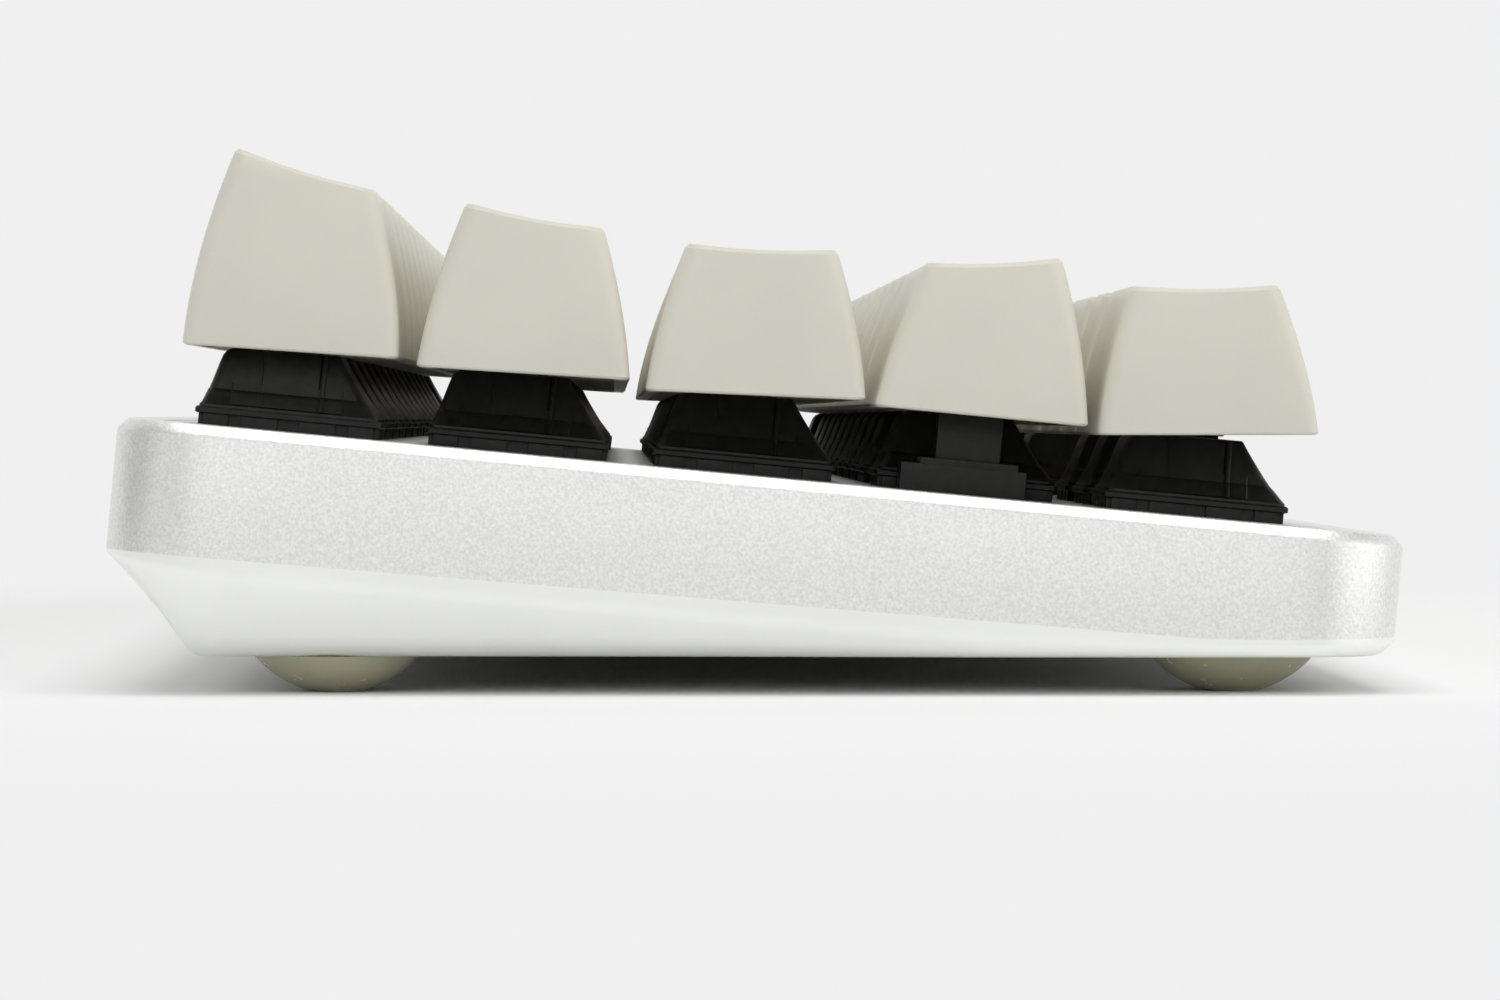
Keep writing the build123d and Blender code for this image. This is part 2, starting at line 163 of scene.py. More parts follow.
def ring_points(x0, x1, y0, y1, radius, corner_steps=CORNER_STEPS, side_steps=SIDE_STEPS):
    """Points round a rounded rectangle, always the same number of them."""
    radius = max(radius, 0.01)
    corners = [(x1, y1, 0), (x0, y1, 90), (x0, y0, 180), (x1, y0, 270)]
    arcs = []
    for x, y, start in corners:
        cx = x - radius if x == x1 else x + radius
        cy = y - radius if y == y1 else y + radius
        arc = []
        for step in range(corner_steps + 1):
            angle = math.radians(start + 90 * step / corner_steps)
            arc.append((cx + radius * math.cos(angle), cy + radius * math.sin(angle)))
        arcs.append(arc)
    points = []
    for arc, following in zip(arcs, arcs[1:] + arcs[:1]):
        points += arc
        (ax, ay), (bx, by) = arc[-1], following[0]
        for step in range(1, side_steps + 1):
            part = step / (side_steps + 1)
            points.append((ax + (bx - ax) * part, ay + (by - ay) * part))
    return points


def loft(bm, rings, first_cap=False, last_cap=False, closed=False):
    """Join rings of points with quads, and fill or join the ends."""
    rows = [[bm.verts.new(point) for point in ring] for ring in rings]
    pairs = list(zip(rows, rows[1:]))
    if closed:
        pairs.append((rows[-1], rows[0]))
    for low, high in pairs:
        count = len(low)
        for i in range(count):
            j = (i + 1) % count
            bm.faces.new((low[i], low[j], high[j], high[i]))
    if first_cap:
        bm.faces.new(list(reversed(rows[0])))
    if last_cap:
        bm.faces.new(rows[-1])


def add_block(bm, x0, x1, y0, y1, z0, z1, bevel=0.0, material=0):
    """A block between two corners, with its edges rounded off."""
    made = bmesh.ops.create_cube(bm, size=1.0)["verts"]
    for vert in made:
        vert.co.x = x0 + (vert.co.x + 0.5) * (x1 - x0)
        vert.co.y = y0 + (vert.co.y + 0.5) * (y1 - y0)
        vert.co.z = z0 + (vert.co.z + 0.5) * (z1 - z0)
    faces = {face for vert in made for face in vert.link_faces}
    for face in faces:
        face.material_index = material
    if bevel:
        edges = list({edge for vert in made for edge in vert.link_edges})
        bmesh.ops.bevel(
            bm,
            geom=edges,
            offset=bevel,
            segments=2,
            profile=0.6,
            affect="EDGES",
            material=material,
        )


def lathe(bm, profile, steps=48, x=0.0, y=0.0):
    """Turn (radius, z) points about an upright axis; radius 0 closes an end."""
    rings = []
    for radius, z in profile:
        ring = []
        for step in range(steps):
            angle = 2 * math.pi * step / steps
            ring.append((x + radius * math.cos(angle), y + radius * math.sin(angle), z))
        rings.append(ring)
    loft(bm, rings, first_cap=True, last_cap=True)


def rounded_path(points, radius, steps=5):
    """A polyline with each inner corner eased by a short curve."""
    path = [points[0]]
    for before, corner, after in zip(points, points[1:], points[2:]):
        b, c, a = Vector(before), Vector(corner), Vector(after)
        reach = min(radius, (b - c).length * 0.49, (a - c).length * 0.49)
        start = c + (b - c).normalized() * reach
        end = c + (a - c).normalized() * reach
        for step in range(steps + 1):
            t = step / steps
            path.append(tuple(start * (1 - t) ** 2 + c * 2 * t * (1 - t) + end * t * t))
    path.append(points[-1])
    return path


def mesh_from(bm, name, matrix=None):
    """Finish a mesh made in millimetres: place it, scale it and smooth it."""
    if matrix is not None:
        bmesh.ops.transform(bm, matrix=matrix, verts=bm.verts)
    bmesh.ops.scale(bm, vec=(MM, MM, MM), verts=bm.verts)
    bmesh.ops.recalc_face_normals(bm, faces=bm.faces)
    mesh = bpy.data.meshes.new(name)
    bm.to_mesh(mesh)
    bm.free()
    mesh.shade_smooth()
    mesh.set_sharp_from_angle(angle=SHARP_ANGLE)
    return mesh


def add_piece(name, mesh, body, slot, materials, *nodes):
    """Put a finished mesh in the scene, on its body and in place of its nodes."""
    piece = bpy.data.objects.new(name, mesh)
    bpy.context.scene.collection.objects.link(piece)
    for material in materials:
        mesh.materials.append(material)
    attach(piece, body)
    if nodes:
        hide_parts(*nodes)
    return piece


def stamp(template, places):
    """One bmesh holding a copy of a template bmesh at each place."""
    source = bpy.data.meshes.new("template")
    template.to_mesh(source)
    template.free()
    result = bmesh.new()
    for place in places:
        before = len(result.verts)
        result.from_mesh(source)
        result.verts.ensure_lookup_table()
        bmesh.ops.transform(result, matrix=place, verts=result.verts[before:])
    bpy.data.meshes.remove(source)
    return result


# --------------------------------------------------------------- materials


class Surface:
    """A Principled material with object-space texture helpers."""

    def __init__(self, name, color, roughness, metallic=0.0):
        self.material = bpy.data.materials.new(name)
        self.material.use_nodes = True
        self.nodes = self.material.node_tree.nodes
        self.links = self.material.node_tree.links
        self.shader = self.nodes["Principled BSDF"]
        self.shader.inputs["Base Color"].default_value = (*color, 1)
        self.shader.inputs["Roughness"].default_value = roughness
        self.shader.inputs["Metallic"].default_value = metallic
        self.color = color
        self.roughness = roughness
        self.coords = self.nodes.new("ShaderNodeTexCoord").outputs["Object"]

    def noise(self, size, detail=3.0, stretch=None):
        """Noise whose blotches are about this many millimetres across."""
        coords = self.coords
        if stretch:
            mapping = self.nodes.new("ShaderNodeMapping")
            mapping.inputs["Scale"].default_value = stretch
            self.links.new(coords, mapping.inputs["Vector"])
            coords = mapping.outputs["Vector"]
        noise = self.nodes.new("ShaderNodeTexNoise")
        noise.inputs["Scale"].default_value = 1 / (size * MM)
        noise.inputs["Detail"].default_value = detail
        self.links.new(coords, noise.inputs["Vector"])
        return noise.outputs["Fac"]

    def map_range(self, value, low, high, start=0.3, end=0.7):
        """Bring a 0 to 1 pattern into a range."""
        node = self.nodes.new("ShaderNodeMapRange")
        node.inputs["From Min"].default_value = start
        node.inputs["From Max"].default_value = end
        node.inputs["To Min"].default_value = low
        node.inputs["To Max"].default_value = high
        self.links.new(value, node.inputs["Value"])
        return node.outputs["Result"]

    def vary_color(self, pattern, dark, light):
        """Let a pattern shift the colour between two tints of itself."""
        ramp = self.nodes.new("ShaderNodeValToRGB")
        ramp.color_ramp.elements[0].position = 0.3
        ramp.color_ramp.elements[1].position = 0.7
        ramp.color_ramp.elements[0].color = (*[c * dark for c in self.color], 1)
        ramp.color_ramp.elements[1].color = (*[min(1, c * light) for c in self.color], 1)
        self.links.new(pattern, ramp.inputs["Fac"])
        self.links.new(ramp.outputs["Color"], self.shader.inputs["Base Color"])

    def vary_roughness(self, pattern, spread):
        """Let a pattern shift the roughness up and down."""
        low, high = self.roughness - spread, self.roughness + spread
        self.links.new(self.map_range(pattern, low, high), self.shader.inputs["Roughness"])

    def bump(self, patterns):
        """Stack (pattern, height in millimetres) pairs into the normal."""
        normal = None
        for pattern, height in patterns:
            node = self.nodes.new("ShaderNodeBump")
            node.inputs["Strength"].default_value = 1.0
            node.inputs["Distance"].default_value = height * MM
            self.links.new(pattern, node.inputs["Height"])
            if normal:
                self.links.new(normal, node.inputs["Normal"])
            normal = node.outputs["Normal"]
        self.links.new(normal, self.shader.inputs["Normal"])


def keycap_material():
    """Matt plastic, warm grey-white, with a fine moulded grain."""
    surface = Surface("keycap_plastic", (0.675, 0.66, 0.57), 0.48)
    grain = surface.noise(0.22, 4)
    clouds = surface.noise(9, 2)
    surface.vary_color(clouds, 0.975, 1.02)
    surface.vary_roughness(surface.noise(2.5, 3), 0.05)
    surface.bump([(grain, 0.012), (surface.noise(1.6, 2), 0.01)])
    surface.shader.inputs["Subsurface Weight"].default_value = 0.12
    surface.shader.inputs["Subsurface Scale"].default_value = 0.6 * MM
    surface.shader.inputs["Subsurface Radius"].default_value = (1.0, 0.85, 0.6)
    surface.shader.inputs["Specular IOR Level"].default_value = 0.5
    surface.shader.inputs["Coat Weight"].default_value = 0.12
    surface.shader.inputs["Coat Roughness"].default_value = 0.3
    return surface.material


def case_metal_material():
    """Bead-blasted clear-anodised aluminium: bright, matt and finely grained."""
    surface = Surface("blasted_aluminium", (0.87, 0.87, 0.86), 0.42, 1.0)
    grain = surface.noise(0.3, 6)
    surface.vary_color(surface.noise(0.26, 4), 0.86, 1.08)
    surface.vary_roughness(surface.noise(14, 3), 0.04)
    surface.bump([(grain, 0.035), (surface.noise(0.9, 2), 0.02)])
    return surface.material


def shell_material():
    """Smoother satin anodised aluminium of the lower tray."""
    surface = Surface("satin_aluminium", (0.95, 0.96, 0.93), 0.34, 0.55)
    surface.vary_color(surface.noise(18, 3), 0.98, 1.02)
    surface.vary_roughness(surface.noise(6, 3), 0.05)
    surface.bump([(surface.noise(0.35, 4), 0.008), (surface.noise(3, 2), 0.008)])
    return surface.material


def switch_material():
    """Black moulded switch plastic with a faint sheen on its edges."""
    surface = Surface("switch_plastic", (0.0075, 0.0075, 0.007), 0.4)
    surface.vary_color(surface.noise(1.2, 3), 0.8, 1.5)
    surface.vary_roughness(surface.noise(0.8, 3), 0.08)
    surface.bump([(surface.noise(0.15, 4), 0.012)])
    surface.shader.inputs["Specular IOR Level"].default_value = 0.32
    return surface.material


def plunger_material():
    """The slider's slightly glossier dark plastic."""
    surface = Surface("plunger_plastic", (0.012, 0.012, 0.011), 0.35)
    surface.vary_color(surface.noise(0.9, 3), 0.85, 1.3)
    surface.bump([(surface.noise(0.2, 3), 0.008)])
    surface.shader.inputs["Specular IOR Level"].default_value = 0.3
    return surface.material


def plate_material():
    """Blasted and anodised like the case, a little smoother."""
    surface = Surface("plate_metal", (0.80, 0.80, 0.79), 0.4, 1.0)
    surface.vary_color(surface.noise(0.5, 4), 0.9, 1.1)
    surface.vary_roughness(surface.noise(3, 3), 0.06)
    surface.bump([(surface.noise(0.4, 3), 0.02)])
    return surface.material


def feet_material():
    """Soft, clear, faintly yellow bumper rubber."""
    surface = Surface("bumper_rubber", (0.62, 0.60, 0.42), 0.2)
    surface.shader.inputs["Transmission Weight"].default_value = 0.3
    surface.shader.inputs["IOR"].default_value = 1.45
    surface.shader.inputs["Subsurface Weight"].default_value = 0.3
    surface.shader.inputs["Subsurface Scale"].default_value = 2 * MM
    surface.vary_color(surface.noise(3, 3), 0.94, 1.03)
    surface.vary_roughness(surface.noise(1.5, 3), 0.08)
    surface.bump([(surface.noise(2.5, 2), 0.01)])
    return surface.material


def board_material():
    """Solder mask over faint copper tracks."""
    surface = Surface("solder_mask", (0.015, 0.03, 0.018), 0.3)
    surface.vary_color(surface.noise(4, 2, (1, 6, 1)), 0.8, 1.6)
    surface.bump([(surface.noise(0.3, 3), 0.01)])
    return surface.material


def metal_material(name, color, roughness):
    """Small bright parts: socket, screws, springs and contacts."""
    surface = Surface(name, color, roughness, 1.0)
    surface.vary_color(surface.noise(0.7, 3), 0.9, 1.08)
    surface.vary_roughness(surface.noise(0.4, 3), 0.08)
    surface.bump([(surface.noise(0.3, 3, (1, 1, 6)), 0.006)])
    return surface.material


def stage_material():
    """Pale paper: lit by the lamps near the keyboard, glowing evenly far from it."""
    surface = Surface("studio_paper", (0.9, 0.9, 0.9), 0.9)
    surface.shader.inputs["Specular IOR Level"].default_value = 0.0
    glow = surface.nodes.new("ShaderNodeEmission")
    glow.inputs["Color"].default_value = (BACKDROP, BACKDROP, BACKDROP, 1)
    distance = surface.nodes.new("ShaderNodeVectorMath")
    distance.operation = "LENGTH"
    stretch = surface.nodes.new("ShaderNodeMapping")
    stretch.inputs["Scale"].default_value = FADE_STRETCH
    surface.links.new(surface.coords, stretch.inputs["Vector"])
    surface.links.new(stretch.outputs["Vector"], distance.inputs[0])
    fade = surface.nodes.new("ShaderNodeMapRange")
    fade.interpolation_type = "SMOOTHSTEP"
    fade.inputs["From Min"].default_value = FADE_START
    fade.inputs["From Max"].default_value = FADE_END
    surface.links.new(distance.outputs["Value"], fade.inputs["Value"])
    mix = surface.nodes.new("ShaderNodeMixShader")
    surface.links.new(fade.outputs["Result"], mix.inputs["Fac"])
    surface.links.new(surface.shader.outputs["BSDF"], mix.inputs[1])
    surface.links.new(glow.outputs["Emission"], mix.inputs[2])
    output = surface.nodes["Material Output"]
    surface.links.new(mix.outputs["Shader"], output.inputs["Surface"])
    return surface.material


KEYCAP = keycap_material()
CASE_METAL = case_metal_material()
SHELL = shell_material()
SWITCH = switch_material()
PLUNGER = plunger_material()
PLATE = plate_material()
FEET = feet_material()
BOARD = board_material()
STEEL = metal_material("bright_steel", (0.62, 0.62, 0.61), 0.3)
SPRING = metal_material("spring_steel", (0.72, 0.64, 0.42), 0.3)
BRASS = metal_material("contact_brass", (0.78, 0.57, 0.28), 0.3)


# ------------------------------------------------------------------- keys


def stabiliser_offsets(units):
    """Where a wide key's side stems stand, along x from its centre."""
    if units < 2:
        return ()
    offset = SPACE_STABILISER_OFFSET if units > 6 else STABILISER_OFFSET
    return (-offset, offset)


def cap_rings(row, units, wall, roof, levels, edge):
    """Rings up a cap's side, then over its top edge, for the outside or the hollow."""
    depth, rear_inset, rear_height, front_inset, front_height = CAP_PROFILES[row][:5]
    bulge = CAP_PROFILES[row][7]
    half_x = (units * UNIT - CAP_GAP) / 2 - wall
    half_y = depth / 2 - wall
    top_x = half_x - CAP_SIDE_INSET
    top_rear = depth / 2 - rear_inset - wall
    top_front = -(depth / 2 - front_inset - wall)
    slope = (rear_height - front_height) / (top_rear - top_front)
    middle = (rear_height + front_height) / 2 - roof
    middle_y = (top_rear + top_front) / 2
    dish = CAP_DISH if wall == 0 else 0.0
    rings = []

    def add_ring(t, inset, drop):
        swell = bulge * 4 * t * (1 - t) * (1 - 0.25 * t)
        x = half_x + (top_x - half_x) * t + swell - inset
        y1 = half_y + (top_rear - half_y) * t + swell - inset
        y0 = -half_y + (top_front + half_y) * t - swell + inset
        radius = CAP_FOOT_RADIUS + (CAP_TOP_RADIUS - CAP_FOOT_RADIUS) * t
        radius = radius - wall * 0.5 - inset * 0.4
        ring = []
        for px, py in ring_points(-x, x, y0, y1, radius):
            ux = min(1, abs(px) / top_x)
            uy = min(1, abs(py - middle_y) / ((top_rear - top_front) / 2))
            hollow = dish * (1 - uy * uy) * (0.4 + 0.6 * (1 - ux * ux)) * t ** 6
            ring.append((px, py, t * (middle + slope * (py - middle_y)) - hollow - drop))
        rings.append(ring)

    for level in range(levels + 1):
        t = level / levels
        squeeze = t * (1 - edge / middle)
        add_ring(squeeze, 0, 0)
    steps = 4
    for step in range(1, steps + 1):
        angle = math.radians(90 * step / steps)
        add_ring(1, edge * (1 - math.cos(angle)), edge * (1 - math.sin(angle)))
    for part in (0.25, 0.5, 0.75, 0.92):
        add_ring(1, edge + part * (min(top_x, (top_rear - top_front) / 2) - edge), 0)
    return rings


def cap_bmesh(row, units):
    """A hollow keycap with a dished top, a thin foot and its posts."""
    profile = CAP_PROFILES[row]
    lean, base_z, shift = profile[5], profile[6], profile[8]
    outside = cap_rings(row, units, 0, 0, 14, CAP_EDGE)
    inside = cap_rings(row, units, CAP_WALL, CAP_ROOF, 5, 0.4)
    foot = []
    for inset, z in ((0.28, 0.0), (0.1, 0.07)):
        half_x = (units * UNIT - CAP_GAP) / 2 - inset
        half_y = profile[0] / 2 - inset
        ring = ring_points(-half_x, half_x, -half_y, half_y, CAP_FOOT_RADIUS)
        foot.append([(x, y, z) for x, y in ring])
    outside[0] = [(x, y, 0.22) for x, y, z in outside[0]]
    bm = bmesh.new()
    loft(bm, list(reversed(inside)) + foot + outside, first_cap=True, last_cap=True)
    place = Matrix.Translation((0, shift, base_z)) @ Matrix.Rotation(-math.radians(lean), 4, "X")
    bmesh.ops.transform(bm, matrix=place, verts=bm.verts)
    top = base_z + min(profile[2], profile[4]) - CAP_ROOF + 0.3
    lathe(bm, post_profile(CAP_POST_BOTTOM, top), 24)
    for x in stabiliser_offsets(units):
        lathe(bm, post_profile(STABILISER_POST_BOTTOM, top), 24, x)
    return bm


def post_profile(bottom, top):
    """The outline of a cap's round post, eased at its lower end."""
    radius = CAP_POST_RADIUS
    return [
        (radius - 0.3, bottom),
        (radius, bottom + 0.3),
        (radius, top - 0.8),
        (radius + 0.5, top),
    ]


def add_plunger(bm, x=0.0):
    """The slider: shoulder, neck and cross."""
    add_block(bm, x - 3.7, x + 3.7, -3.7, 3.7, 2.0, 5.2, 0.2, 1)
    add_block(bm, x - 3.5, x + 3.5, -2.9, 2.9, 5.0, 6.6, 0.25, 1)
    add_block(bm, x - 2.0, x + 2.0, -0.6, 0.6, 6.4, 10.1, 0.12, 1)
    add_block(bm, x - 0.6, x + 0.6, -2.0, 2.0, 6.4, 10.1, 0.12, 1)


def add_stem(bm, x):
    """A stabiliser stem with its own cross."""
    add_block(bm, x - 2.1, x + 2.1, -2.4, 3.1, -0.8, 7.05, 0.25, 1)
    add_block(bm, x - 2.0, x + 2.0, -0.6, 0.6, 6.9, 10.1, 0.12, 1)


def row_places(row):
    """Each key of a row as (x, y, units)."""
    places = []
    x = -ROW_WIDTH / 2
    for units in ROW_KEYS[row]:
        places.append((x + units * UNIT / 2, FIELD_Y + (3 - row) * UNIT, units))
        x += units * UNIT
    return places


def build_keys():
    """One piece for each key body: its caps and sliders."""
    rng = random.Random(7)
    for body in sorted(name for name in frame["bodies"] if name.startswith("key_")):
        _, row_name, *numbers = body.split("_")
        row = int(row_name[1:])
        piece = bmesh.new()
        for number in numbers:
            x, y, units = row_places(row)[int(number) - 1]
            key = cap_bmesh(row, units)
            add_plunger(key)
            for offset in stabiliser_offsets(units):
                add_stem(key, offset)
            seat = Matrix.Rotation(math.radians(rng.uniform(-0.25, 0.25)), 4, "Z")
            bmesh.ops.transform(key, matrix=Matrix.Translation((x, y, 0)) @ seat, verts=key.verts)
            holder = bpy.data.meshes.new("holder")
            key.to_mesh(holder)
            key.free()
            piece.from_mesh(holder)
            bpy.data.meshes.remove(holder)
        mesh = mesh_from(piece, body, DECK)
        add_piece("cap_" + body[4:], mesh, body, "keycap", [KEYCAP, PLUNGER], body)


# --------------------------------------------------------------- switches


def bottom_housing_bmesh():
    """Hollow body below the plate, toothed band, lip and locating post."""
    bm = bmesh.new()
    levels = (
        (-5.0, 6.7, 0.3),
        (-4.8, 6.9, 0.3),
        (0.0, 6.9, 0.3),
        (0.0, 7.15, 0.3),
        (0.9, 7.15, 0.3),
        (0.9, 7.6, 0.3),
        (1.0, 7.8, 0.4),
        (1.35, 7.8, 0.4),
        (1.5, 7.65, 0.4),
        (1.5, 5.0, 0.4),
        (-3.8, 5.0, 0.4),
    )
    rings = []
    for z, half, radius in levels:
        rings.append([(x, y, z) for x, y in ring_points(-half, half, -half, half, radius)])
    loft(bm, rings, first_cap=True, last_cap=True)
    for low, high in BAND_TEETH:
        for side in (-1, 1):
            x0, x1 = sorted((side * 6.9, side * 7.5))
            add_block(bm, x0, x1, low, high, -0.02, 1.0, 0.08)
            add_block(bm, low, high, x0, x1, -0.02, 1.0, 0.08)
    lathe(bm, [(1.3, -8.3), (1.9, -7.7), (1.9, -5.0)], 24)
    return bm


def top_housing_bmesh():
    """Tapered cover: flared skirt, steep rounded back, long sloping front."""
    levels = [
        (1.35, 7.6, -7.55, 7.55, 0.6),
        (1.7, 7.55, -7.5, 7.5, 0.6),
        (1.85, 7.35, -7.35, 7.35, 0.6),
        (2.7, 6.75, -6.6, 7.05, 0.8),
        (2.9, 6.6, -6.4, 7.0, 0.8),
        (3.05, 6.35, -6.25, 6.9, 0.8),
        (3.7, 6.1, -5.75, 6.7, 0.8),
        (5.3, 5.6, -4.6, 6.25, 0.8),
        (5.9, 5.4, -4.2, 6.05, 0.8),
        (6.3, 5.25, -3.95, 5.75, 0.8),
        (6.55, 5.1, -3.8, 5.3, 0.8),
        (6.65, 4.9, -3.7, 4.9, 0.7),
    ]
    rings = []
    for z, half_x, front, rear, radius in levels:
        rings.append([(x, y, z) for x, y in ring_points(-half_x, half_x, front, rear, radius)])
    for z in (6.65, 5.3):
        rings.append([(x, y, z) for x, y in ring_points(-3.75, 3.75, -3.2, 3.2, 0.4)])
    bm = bmesh.new()
    loft(bm, rings, first_cap=True, last_cap=True)
    for y0, y1, proud, top in TOP_PANELS:
        panel = []
        for z, half_x, _, _, _ in levels:
            if 1.8 < z < top:
                x = half_x + proud
                panel.append([(px, py, z) for px, py in ring_points(-x, x, y0, y1, 0.2)])
        loft(bm, panel, first_cap=True, last_cap=True)
    return bm


def stabiliser_bmesh():
    """A stabiliser guide: stepped block, open for its stem."""
    bm = bmesh.new()
    add_block(bm, -3.3, 3.3, -4.65, 5.95, -5.0, -0.05, 0.2)
    for x0, x1, y0, y1 in ((-3.3, -2.4, -4.65, 5.95), (2.4, 3.3, -4.65, 5.95)):
        add_block(bm, x0, x1, y0, y1, -0.1, 2.3, 0.15)
        add_block(bm, x0, x1, -3.9, 4.4, 2.2, 2.85, 0.15)
    add_block(bm, -2.5, 2.5, -4.65, -2.7, -0.1, 2.3, 0.15)
    add_block(bm, -2.5, 2.5, 3.4, 5.95, -0.1, 2.3, 0.15)
    return bm


def build_switches():
    """All housings, as one piece for each CAD node."""
    keys = [place for row in ROW_KEYS for place in row_places(row)]
    places = [DECK @ Matrix.Translation((x, y, 0)) for x, y, units in keys]
    guides = []
    for x, y, units in keys:
        for offset in stabiliser_offsets(units):
            guides.append(DECK @ Matrix.Translation((x + offset, y, 0)))
    for node, template, spots in (
        ("switch_bottom_housings", bottom_housing_bmesh(), places),
        ("switch_top_housings", top_housing_bmesh(), places),
        ("stabiliser_housings", stabiliser_bmesh(), guides),
    ):
        mesh = mesh_from(stamp(template, spots), node)
        add_piece(node + "_detailed", mesh, "case", "switch", [SWITCH], node)


# ------------------------------------------------------------------- case


def joint_line_z(y):
    """Height of the line between band and shell at a desk y."""
    corners = (
        (CASE_DEPTH / 2, -BAND_REAR),
        (BAND_KNEE_Y, -BAND_KNEE),
        (-CASE_DEPTH / 2, -BAND_FRONT),
    )
    points = []
    for along, up in corners:
        point = DECK @ Vector((0, along, up))
        points.append((point.y, point.z))
    rear, knee, front = points
    if y > knee[0]:
        return knee[1] + (rear[1] - knee[1]) * (y - knee[0]) / (rear[0] - knee[0])
    return front[1] + (knee[1] - front[1]) * (y - front[0]) / (knee[0] - front[0])


def joint_drop(y_deck):
    """Distance down from the deck to the joint line, at a place along the deck."""
    low = -BAND_KNEE
    for _ in range(6):
        point = DECK @ Vector((0, y_deck, low))
        low += joint_line_z(point.y) - point.z
    return low


def case_outline(inset, steps=24):
    """The case's rounded plan outline, in deck coordinates."""
    x, y = CASE_WIDTH / 2 - inset, CASE_DEPTH / 2 - inset
    return ring_points(-x, x, -y, y, CORNER_RADIUS - inset, 10, steps)


def opening_outline(inset, steps=24):
    """The key opening's outline, in deck coordinates."""
    x = ROW_WIDTH / 2 + OPENING_MARGIN - inset
    y = FIELD_DEPTH / 2 + OPENING_MARGIN - inset
    return ring_points(-x, x, FIELD_Y - y, FIELD_Y + y, 1.0, 10, steps)


def cut_port(piece):
    """Open the rear port through the band and the shell's upper edge."""
    cutter = bmesh.new()
    half = PORT_WIDTH / 2
    low = PORT_TOP - PORT_HEIGHT
    ring = ring_points(PORT_X - half, PORT_X + half, low, PORT_TOP, PORT_RADIUS)
    loft(cutter, [[(x, y, z) for x, z in ring] for y in PORT_REACH], True, True)
    mesh = mesh_from(cutter, "port_cutter", DECK)
    tool = bpy.data.objects.new("port_cutter", mesh)
    bpy.context.scene.collection.objects.link(tool)
    modifier = piece.modifiers.new("port", "BOOLEAN")
    modifier.object = tool
    modifier.solver = "EXACT"
    bpy.context.view_layer.update()
    graph = bpy.context.evaluated_depsgraph_get()
    cut = bpy.data.meshes.new_from_object(piece.evaluated_get(graph))
    cut.set_sharp_from_angle(angle=PORT_SHARP_ANGLE)
    piece.modifiers.clear()
    piece.data = cut
    bpy.data.objects.remove(tool)


def build_band():
    """The blasted metal band with its chamfered rim."""
    edge = BAND_EDGE
    rings = []
    rings.append([(x, y, joint_drop(y)) for x, y in case_outline(0)])
    rings.append([(x, y, -TOP_CHAMFER - edge) for x, y in case_outline(0)])
    rings.append([(x, y, -TOP_CHAMFER + edge) for x, y in case_outline(edge)])
    rings.append([(x, y, -edge) for x, y in case_outline(TOP_CHAMFER - edge)])
    rings.append([(x, y, 0) for x, y in case_outline(TOP_CHAMFER + edge)])
    rings.append([(x, y, 0) for x, y in opening_outline(-edge)])
    rings.append([(x, y, -edge) for x, y in opening_outline(0)])
    rings.append([(x, y, -PLATE_THICKNESS) for x, y in opening_outline(0)])
    rings.append([(x, y, -PLATE_THICKNESS) for x, y in opening_outline(LEDGE)])
    rings.append([(x, y, joint_drop(y)) for x, y in opening_outline(LEDGE)])
    bm = bmesh.new()
    loft(bm, rings, closed=True)
    mesh = mesh_from(bm, "case_band", DECK)
    piece = add_piece("case_band", mesh, "case", "case_metal", [CASE_METAL], "upper_frame")
    cut_port(piece)


def build_shell():
    """The satin lower tray: rounded shoulder, raked back and sides, flat base."""
    outline = case_outline(0)
    columns = []
    for x, y in outline:
        cx = max(-CASE_WIDTH / 2 + CORNER_RADIUS, min(CASE_WIDTH / 2 - CORNER_RADIUS, x))
        cy = max(-CASE_DEPTH / 2 + CORNER_RADIUS, min(CASE_DEPTH / 2 - CORNER_RADIUS, y))
        normal = Vector((x - cx, y - cy)).normalized()
        top = DECK @ Vector((x, y, joint_drop(y)))
        depth = top.z - SHELL_BOTTOM_Z
        rake = SIDE_RAKE * normal.x ** 2 + REAR_RAKE * normal.y ** 2
        shoulder = min(SHELL_SHOULDER * normal.x ** 2 + 0.3, depth * 0.5)
        inset = rake * (depth - shoulder)
        section = [(0, 0), (0, -shoulder), (inset, -depth), (inset + 4, -depth)]
        columns.append((top, normal, rounded_path(section, SHELL_EASE, 6)))
    rings = []
    for level in range(len(columns[0][2])):
        ring = []
        for top, normal, section in columns:
            inset, drop = section[level]
            ring.append((top.x - normal.x * inset, top.y - normal.y * inset, top.z + drop))
        rings.append(ring)
    rims = []
    floor = SHELL_BOTTOM_Z + SHELL_FLOOR
    for inset, z in ((5.6, None), (5.6, floor), (9.0, floor)):
        ring = []
        for top, normal, section in columns:
            level = top.z if z is None else z
            reach = inset if z is None else max(inset, section[-1][0] - 2)
            ring.append((top.x - normal.x * reach, top.y - normal.y * reach, level))
        rims.append(ring)
    bm = bmesh.new()
    loft(bm, list(reversed(rims)) + rings, first_cap=True, last_cap=True)
    mesh = mesh_from(bm, "case_shell")
    piece = add_piece("case_shell", mesh, "case", "shell", [SHELL], "bottom_shell")
    cut_port(piece)


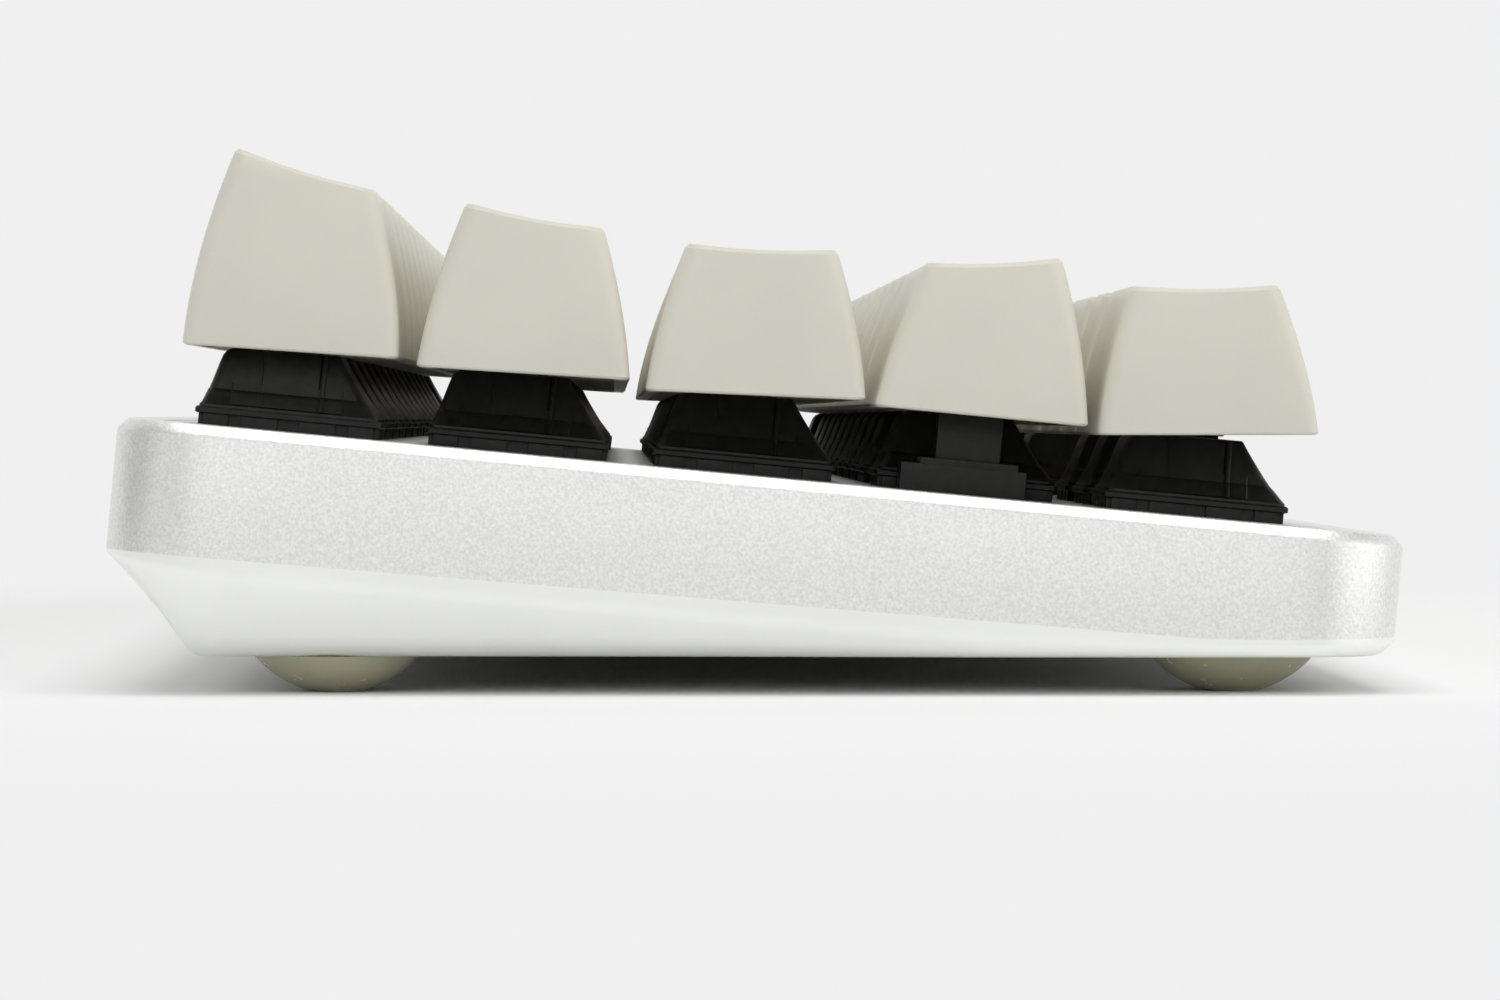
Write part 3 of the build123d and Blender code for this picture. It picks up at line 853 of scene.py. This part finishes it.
def build_feet():
    """Four soft domes, flat where they meet the desk."""
    bm = bmesh.new()
    steps = 14
    centre_z = (FOOT_RADIUS ** 2 + SHELL_BOTTOM_Z ** 2 - FOOT_FLAT ** 2) / (2 * SHELL_BOTTOM_Z)
    sphere = math.hypot(FOOT_FLAT, centre_z)
    first = math.asin(FOOT_FLAT / sphere)
    last = math.asin(FOOT_RADIUS / sphere)
    profile = []
    for step in range(steps + 1):
        angle = first + (last - first) * step / steps
        profile.append((sphere * math.sin(angle), centre_z - sphere * math.cos(angle)))
    for x in (-FOOT_X, FOOT_X):
        for y in FOOT_YS:
            lathe(bm, profile, 56, x, y)
    add_piece("dome_feet", mesh_from(bm, "dome_feet"), "case", "feet", [FEET], "rubber_feet")


def dress_cad_nodes():
    """Finish the CAD nodes that keep their own shape."""
    finishes = {
        "switch_plate": PLATE,
        "circuit_board": BOARD,
        "usb_socket": STEEL,
        "case_screws": STEEL,
        "switch_springs": SPRING,
        "switch_contacts": BRASS,
    }
    for node, material in finishes.items():
        for slot in frame["nodes"][node].material_slots:
            slot.material = material


# ------------------------------------------------------------------ studio


def build_stage():
    """A pale floor that sweeps up into a backdrop far behind the keyboard."""
    bm = bmesh.new()
    near, far, rise, width = -3.0, 2.2, 2.6, 4.0
    bend = 1.0
    path = [(near, 0.0), (far - bend, 0.0)]
    steps = 16
    for step in range(1, steps + 1):
        angle = math.radians(90 * step / steps)
        path.append((far - bend + bend * math.sin(angle), bend * (1 - math.cos(angle))))
    path.append((far, rise))
    rows = [[bm.verts.new((x, side * width, z)) for side in (-1, 1)] for x, z in path]
    for low, high in zip(rows, rows[1:]):
        bm.faces.new((low[0], high[0], high[1], low[1]))
    mesh = bpy.data.meshes.new("studio_sweep")
    bm.to_mesh(mesh)
    bm.free()
    mesh.shade_smooth()
    mesh.materials.append(stage_material())
    stage = bpy.data.objects.new("studio_sweep", mesh)
    bpy.context.scene.collection.objects.link(stage)


def add_light(name, position, target, size, power):
    """A rectangular soft box aimed at a point."""
    light = bpy.data.lights.new(name, "AREA")
    light.shape = "RECTANGLE"
    light.size, light.size_y = size
    light.energy = power
    lamp = bpy.data.objects.new(name, light)
    lamp.location = position
    direction = Vector(target) - Vector(position)
    lamp.rotation_euler = direction.to_track_quat("-Z", "Y").to_euler()
    bpy.context.scene.collection.objects.link(lamp)


def build_lights():
    """Soft light all round, strongest from above and from the front."""
    centre = (0, 0, 0.02)
    add_light("overhead", (-0.1, 0.0, 1.1), centre, (0.9, 0.8), 5.4)
    add_light("rear_strip", (-0.55, 0.9, 0.45), centre, (0.7, 0.7), 0.6)
    add_light("front_strip", (-0.30, -1.0, 0.45), centre, (1.3, 0.9), 3.6)
    add_light("left_fill", (-1.3, 0.1, 0.6), centre, (1.4, 0.9), 2.8)
    world = bpy.data.worlds.new("studio")
    world.use_nodes = True
    background = world.node_tree.nodes["Background"]
    background.inputs["Color"].default_value = (1, 1, 1, 1)
    background.inputs["Strength"].default_value = 0.42
    bpy.context.scene.world = world
    bpy.context.scene.view_settings.view_transform = "Standard"


def build_camera():
    """A long lens level with the deck, square to the left end."""
    camera = bpy.data.cameras.new("camera")
    camera.lens = CAMERA_LENS
    camera.sensor_width = 36.0
    camera.clip_end = 20
    camera.dof.use_dof = False
    eye = bpy.data.objects.new("camera", camera)
    side = -CASE_WIDTH / 2 * MM
    eye.location = (side - CAMERA_DISTANCE, *CAMERA_EYE)
    target = Vector((side, *CAMERA_TARGET))
    eye.rotation_euler = (target - eye.location).to_track_quat("-Z", "Y").to_euler()
    bpy.context.scene.collection.objects.link(eye)
    bpy.context.scene.camera = eye


build_camera()
build_stage()
build_lights()
build_keys()
build_switches()
build_band()
build_shell()
build_feet()
dress_cad_nodes()
